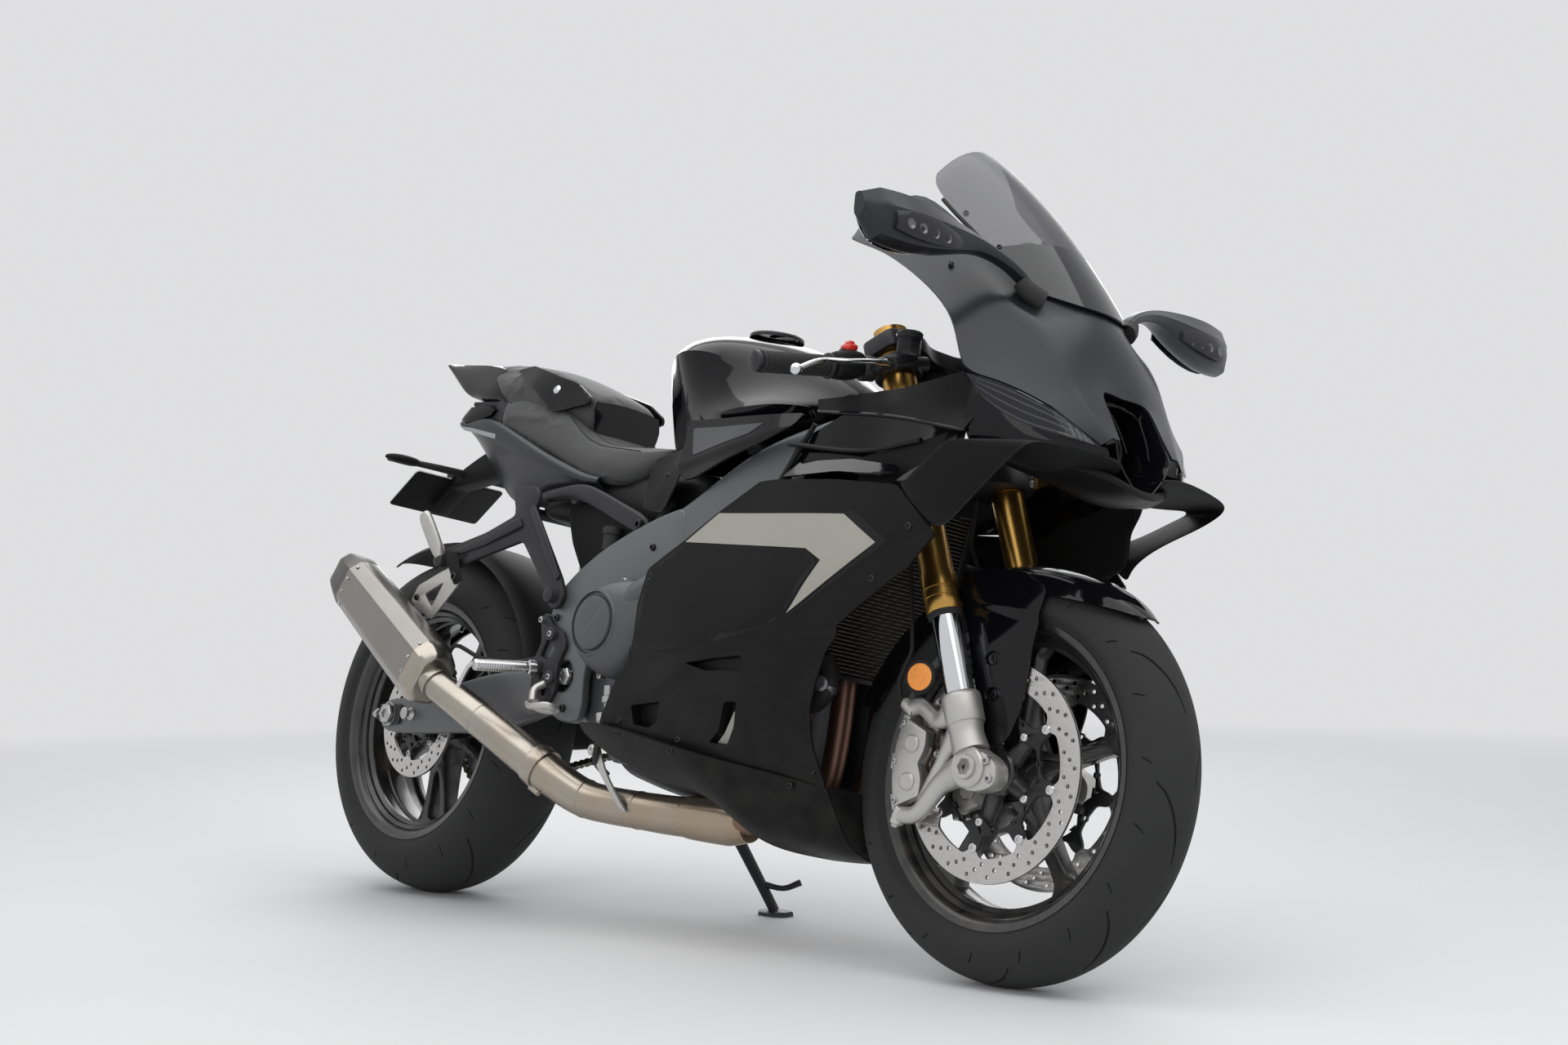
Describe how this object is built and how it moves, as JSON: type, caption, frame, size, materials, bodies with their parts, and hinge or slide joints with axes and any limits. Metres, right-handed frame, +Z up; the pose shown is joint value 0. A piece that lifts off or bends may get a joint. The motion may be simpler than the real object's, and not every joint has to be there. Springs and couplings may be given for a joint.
{
  "type": "sport motorcycle",
  "caption": "Faired sport motorcycle leaning on its side stand, with turning wheels, steering and a folding stand.",
  "frame": {"origin": "middle of the parked machine's bounding box, on the ground", "axes": "+X forwards, +Y to the rider's left, +Z up from the ground"},
  "size_m": [2.035, 0.8534, 1.2465],
  "materials": {
    "tyre_rubber": "matt tyre rubber",
    "black_wheel": "satin black cast alloy",
    "disc_steel": "ground steel",
    "black_alloy": "satin black alloy",
    "gold_anodised": "gold anodised tube",
    "cast_alloy": "satin silver casting",
    "dark_steel": "dark steel",
    "engine_metal": "satin dark grey casting",
    "bronze_steel": "heat-tinted bronze steel tube, weighed light because the pipes are hollow",
    "brushed_steel": "brushed stainless steel, weighed light because the can is hollow",
    "gloss_black": "gloss black paint",
    "satin_black": "satin black paint",
    "matte_black": "matt black plastic",
    "seat_cover": "matt black seat cover",
    "soft_rubber": "black rubber",
    "smoked_screen": "smoked clear plastic",
    "lamp_lens": "clear and smoked lamp lenses",
    "blank_plate": "blank white plate"
  },
  "bodies": {
    "chassis": {"main_frame": "black_alloy", "engine_block": "engine_metal", "engine_covers": "engine_metal", "swingarm": "black_alloy", "pivot_shaft": "dark_steel", "rear_axle": "dark_steel", "rear_caliper": "cast_alloy", "chain": "dark_steel", "shock_absorber": "dark_steel", "radiator": "engine_metal", "header_pipes": "bronze_steel", "mid_pipe": "brushed_steel", "silencer": "brushed_steel", "silencer_bracket": "cast_alloy", "passenger_footrests": "cast_alloy", "fuel_tank": "gloss_black", "tank_side_covers": "gloss_black", "rider_seat": "seat_cover", "passenger_seat": "seat_cover", "tail_cowl": "satin_black", "rear_lights": "lamp_lens", "plate_hanger": "matte_black", "number_plate": "blank_plate", "upper_cowl": "gloss_black", "windscreen": "smoked_screen", "front_lights": "lamp_lens", "intake_duct": "matte_black", "nose_chin": "satin_black", "winglets": "satin_black", "side_fairings": "satin_black", "upper_side_fairings": "satin_black", "belly_pan": "satin_black", "mirrors": "gloss_black", "cowl_stay": "matte_black", "instrument": "matte_black", "footrests": "black_alloy", "stand_bracket": "black_alloy"},
    "steering": {"yokes": "black_alloy", "fork_tubes": "gold_anodised", "fork_legs": "cast_alloy", "front_calipers": "cast_alloy", "front_axle": "dark_steel", "front_fender": "gloss_black", "handlebars": "black_alloy", "grips": "soft_rubber", "switch_housings": "matte_black", "hand_levers": "cast_alloy", "master_cylinder": "cast_alloy", "brake_hoses": "soft_rubber"},
    "front_wheel": {"front_tyre": "tyre_rubber", "front_rim": "black_wheel", "front_discs": "disc_steel"},
    "rear_wheel": {"rear_tyre": "tyre_rubber", "rear_rim": "black_wheel", "rear_disc": "disc_steel", "rear_sprocket": "disc_steel"},
    "side_stand": {"side_stand": "black_alloy"}
  },
  "joints": [
    {"name": "steering", "type": "hinge", "parent": "chassis", "child": "steering", "pos_m": [0.43346, -0.02436, 0.89591], "axis": [-0.3837, 0.1656, 0.9085], "range_deg": [-25, 25]},
    {"name": "front_wheel_spin", "type": "hinge", "parent": "steering", "child": "front_wheel", "pos_m": [0.7175, -0.13368, 0.29611], "axis": [0, 0.9838, -0.1793], "continuous": true},
    {"name": "rear_wheel_spin", "type": "hinge", "parent": "chassis", "child": "rear_wheel", "pos_m": [-0.7025, -0.1309, 0.31135], "axis": [0, 0.9838, -0.1793], "continuous": true},
    {"name": "side_stand_fold", "type": "hinge", "parent": "chassis", "child": "side_stand", "pos_m": [-0.08252, -0.02294, 0.22335], "axis": [-0.0121, 0.9284, 0.3713], "range_deg": [0, 90]}
  ]
}
